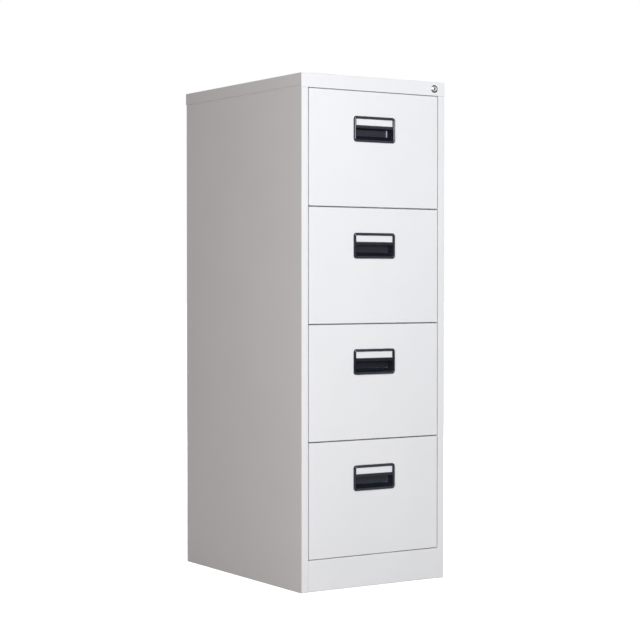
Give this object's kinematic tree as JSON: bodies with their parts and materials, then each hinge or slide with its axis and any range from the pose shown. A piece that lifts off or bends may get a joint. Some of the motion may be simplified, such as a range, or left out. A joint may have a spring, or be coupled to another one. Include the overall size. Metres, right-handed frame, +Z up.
{
  "type": "filing cabinet",
  "caption": "Upright white steel filing cabinet with drawers on telescopic slides, recessed dark pull handles with label windows, and a round cam lock in the top fascia that bars every drawer.",
  "frame": {"origin": "middle of the footprint, on the floor", "axes": "+X to the right as seen from the front, +Y to the back, +Z up"},
  "size_m": [0.452, 0.6244, 1.33],
  "materials": {
    "carcass_paint": "satin white powder coat",
    "drawer_paint": "satin white powder coat",
    "tray_paint": "satin white powder coat",
    "handle_plastic": "glossy blue-black moulded plastic",
    "zinc_plate": "bright zinc plate",
    "cage_steel": "bright steel strip and balls",
    "lock_chrome": "polished chrome",
    "lock_nickel": "dark nickel plate",
    "nylon": "natural nylon",
    "rubber": "black rubber"
  },
  "bodies": {
    "carcass": {"left_side_panel": "carcass_paint", "right_side_panel": "carcass_paint", "back_panel": "carcass_paint", "top_cap": "carcass_paint", "floor_pan": "carcass_paint", "plinth_panel": "carcass_paint", "divider_rails": "carcass_paint", "front_uprights": "zinc_plate", "rear_uprights": "zinc_plate", "left_slide_channels": "zinc_plate", "right_slide_channels": "zinc_plate", "slide_rivets": "zinc_plate", "drawer_bumpers": "rubber", "lock_housing": "lock_nickel", "lock_nut": "zinc_plate", "lock_bar_guides": "nylon"},
    "lock_plug": {"lock_plug": "lock_chrome", "lock_cam": "zinc_plate", "lock_cam_screw": "zinc_plate"},
    "lock_bar": {"lock_bar": "zinc_plate", "lock_bar_ear": "zinc_plate", "lock_hooks": "zinc_plate"},
    "drawer_1": {"drawer_1_front": "drawer_paint", "drawer_1_tray": "tray_paint", "drawer_1_handle": "handle_plastic", "drawer_1_hanging_rails": "zinc_plate", "drawer_1_lock_catch": "zinc_plate", "drawer_1_inner_slides": "zinc_plate"},
    "drawer_1_middle": {"drawer_1_middle_slides": "zinc_plate"},
    "drawer_1_outer_cages": {"drawer_1_outer_ball_cages": "cage_steel"},
    "drawer_1_inner_cages": {"drawer_1_inner_ball_cages": "cage_steel"},
    "drawer_2": {"drawer_2_front": "drawer_paint", "drawer_2_tray": "tray_paint", "drawer_2_handle": "handle_plastic", "drawer_2_hanging_rails": "zinc_plate", "drawer_2_lock_catch": "zinc_plate", "drawer_2_inner_slides": "zinc_plate"},
    "drawer_2_middle": {"drawer_2_middle_slides": "zinc_plate"},
    "drawer_2_outer_cages": {"drawer_2_outer_ball_cages": "cage_steel"},
    "drawer_2_inner_cages": {"drawer_2_inner_ball_cages": "cage_steel"},
    "drawer_3": {"drawer_3_front": "drawer_paint", "drawer_3_tray": "tray_paint", "drawer_3_handle": "handle_plastic", "drawer_3_hanging_rails": "zinc_plate", "drawer_3_lock_catch": "zinc_plate", "drawer_3_inner_slides": "zinc_plate"},
    "drawer_3_middle": {"drawer_3_middle_slides": "zinc_plate"},
    "drawer_3_outer_cages": {"drawer_3_outer_ball_cages": "cage_steel"},
    "drawer_3_inner_cages": {"drawer_3_inner_ball_cages": "cage_steel"},
    "drawer_4": {"drawer_4_front": "drawer_paint", "drawer_4_tray": "tray_paint", "drawer_4_handle": "handle_plastic", "drawer_4_hanging_rails": "zinc_plate", "drawer_4_lock_catch": "zinc_plate", "drawer_4_inner_slides": "zinc_plate"},
    "drawer_4_middle": {"drawer_4_middle_slides": "zinc_plate"},
    "drawer_4_outer_cages": {"drawer_4_outer_ball_cages": "cage_steel"},
    "drawer_4_inner_cages": {"drawer_4_inner_ball_cages": "cage_steel"}
  },
  "joints": [
    {"name": "lock_turn", "type": "hinge", "parent": "carcass", "child": "lock_plug", "pos_m": [0.192, -0.30775, 1.31175], "axis": [0, -1, 0], "range_deg": [0, 90]},
    {"name": "lock_bar_lift", "type": "slide", "parent": "carcass", "child": "lock_bar", "axis": [0, 0, 1], "range_m": [0, 0.01]},
    {"name": "drawer_1_slide", "type": "slide", "parent": "carcass", "child": "drawer_1", "axis": [0, -1, 0], "range_m": [0, 0.54]},
    {"name": "drawer_1_middle_slide", "type": "slide", "parent": "carcass", "child": "drawer_1_middle", "axis": [0, -1, 0], "range_m": [0, 0.271]},
    {"name": "drawer_1_outer_cages_slide", "type": "slide", "parent": "carcass", "child": "drawer_1_outer_cages", "axis": [0, -1, 0], "range_m": [0, 0.136]},
    {"name": "drawer_1_inner_cages_slide", "type": "slide", "parent": "carcass", "child": "drawer_1_inner_cages", "axis": [0, -1, 0], "range_m": [0, 0.406]},
    {"name": "drawer_2_slide", "type": "slide", "parent": "carcass", "child": "drawer_2", "axis": [0, -1, 0], "range_m": [0, 0.54]},
    {"name": "drawer_2_middle_slide", "type": "slide", "parent": "carcass", "child": "drawer_2_middle", "axis": [0, -1, 0], "range_m": [0, 0.271]},
    {"name": "drawer_2_outer_cages_slide", "type": "slide", "parent": "carcass", "child": "drawer_2_outer_cages", "axis": [0, -1, 0], "range_m": [0, 0.136]},
    {"name": "drawer_2_inner_cages_slide", "type": "slide", "parent": "carcass", "child": "drawer_2_inner_cages", "axis": [0, -1, 0], "range_m": [0, 0.406]},
    {"name": "drawer_3_slide", "type": "slide", "parent": "carcass", "child": "drawer_3", "axis": [0, -1, 0], "range_m": [0, 0.54]},
    {"name": "drawer_3_middle_slide", "type": "slide", "parent": "carcass", "child": "drawer_3_middle", "axis": [0, -1, 0], "range_m": [0, 0.271]},
    {"name": "drawer_3_outer_cages_slide", "type": "slide", "parent": "carcass", "child": "drawer_3_outer_cages", "axis": [0, -1, 0], "range_m": [0, 0.136]},
    {"name": "drawer_3_inner_cages_slide", "type": "slide", "parent": "carcass", "child": "drawer_3_inner_cages", "axis": [0, -1, 0], "range_m": [0, 0.406]},
    {"name": "drawer_4_slide", "type": "slide", "parent": "carcass", "child": "drawer_4", "axis": [0, -1, 0], "range_m": [0, 0.54]},
    {"name": "drawer_4_middle_slide", "type": "slide", "parent": "carcass", "child": "drawer_4_middle", "axis": [0, -1, 0], "range_m": [0, 0.271]},
    {"name": "drawer_4_outer_cages_slide", "type": "slide", "parent": "carcass", "child": "drawer_4_outer_cages", "axis": [0, -1, 0], "range_m": [0, 0.136]},
    {"name": "drawer_4_inner_cages_slide", "type": "slide", "parent": "carcass", "child": "drawer_4_inner_cages", "axis": [0, -1, 0], "range_m": [0, 0.406]}
  ],
  "couplings": [
    {"joint": "lock_turn", "follows": "lock_bar_lift", "rad_per_m": 157.08},
    {"joint": "drawer_1_middle_slide", "follows": "drawer_1_slide", "ratio": 0.5},
    {"joint": "drawer_1_outer_cages_slide", "follows": "drawer_1_slide", "ratio": 0.25},
    {"joint": "drawer_1_inner_cages_slide", "follows": "drawer_1_slide", "ratio": 0.75},
    {"joint": "drawer_2_middle_slide", "follows": "drawer_2_slide", "ratio": 0.5},
    {"joint": "drawer_2_outer_cages_slide", "follows": "drawer_2_slide", "ratio": 0.25},
    {"joint": "drawer_2_inner_cages_slide", "follows": "drawer_2_slide", "ratio": 0.75},
    {"joint": "drawer_3_middle_slide", "follows": "drawer_3_slide", "ratio": 0.5},
    {"joint": "drawer_3_outer_cages_slide", "follows": "drawer_3_slide", "ratio": 0.25},
    {"joint": "drawer_3_inner_cages_slide", "follows": "drawer_3_slide", "ratio": 0.75},
    {"joint": "drawer_4_middle_slide", "follows": "drawer_4_slide", "ratio": 0.5},
    {"joint": "drawer_4_outer_cages_slide", "follows": "drawer_4_slide", "ratio": 0.25},
    {"joint": "drawer_4_inner_cages_slide", "follows": "drawer_4_slide", "ratio": 0.75}
  ]
}
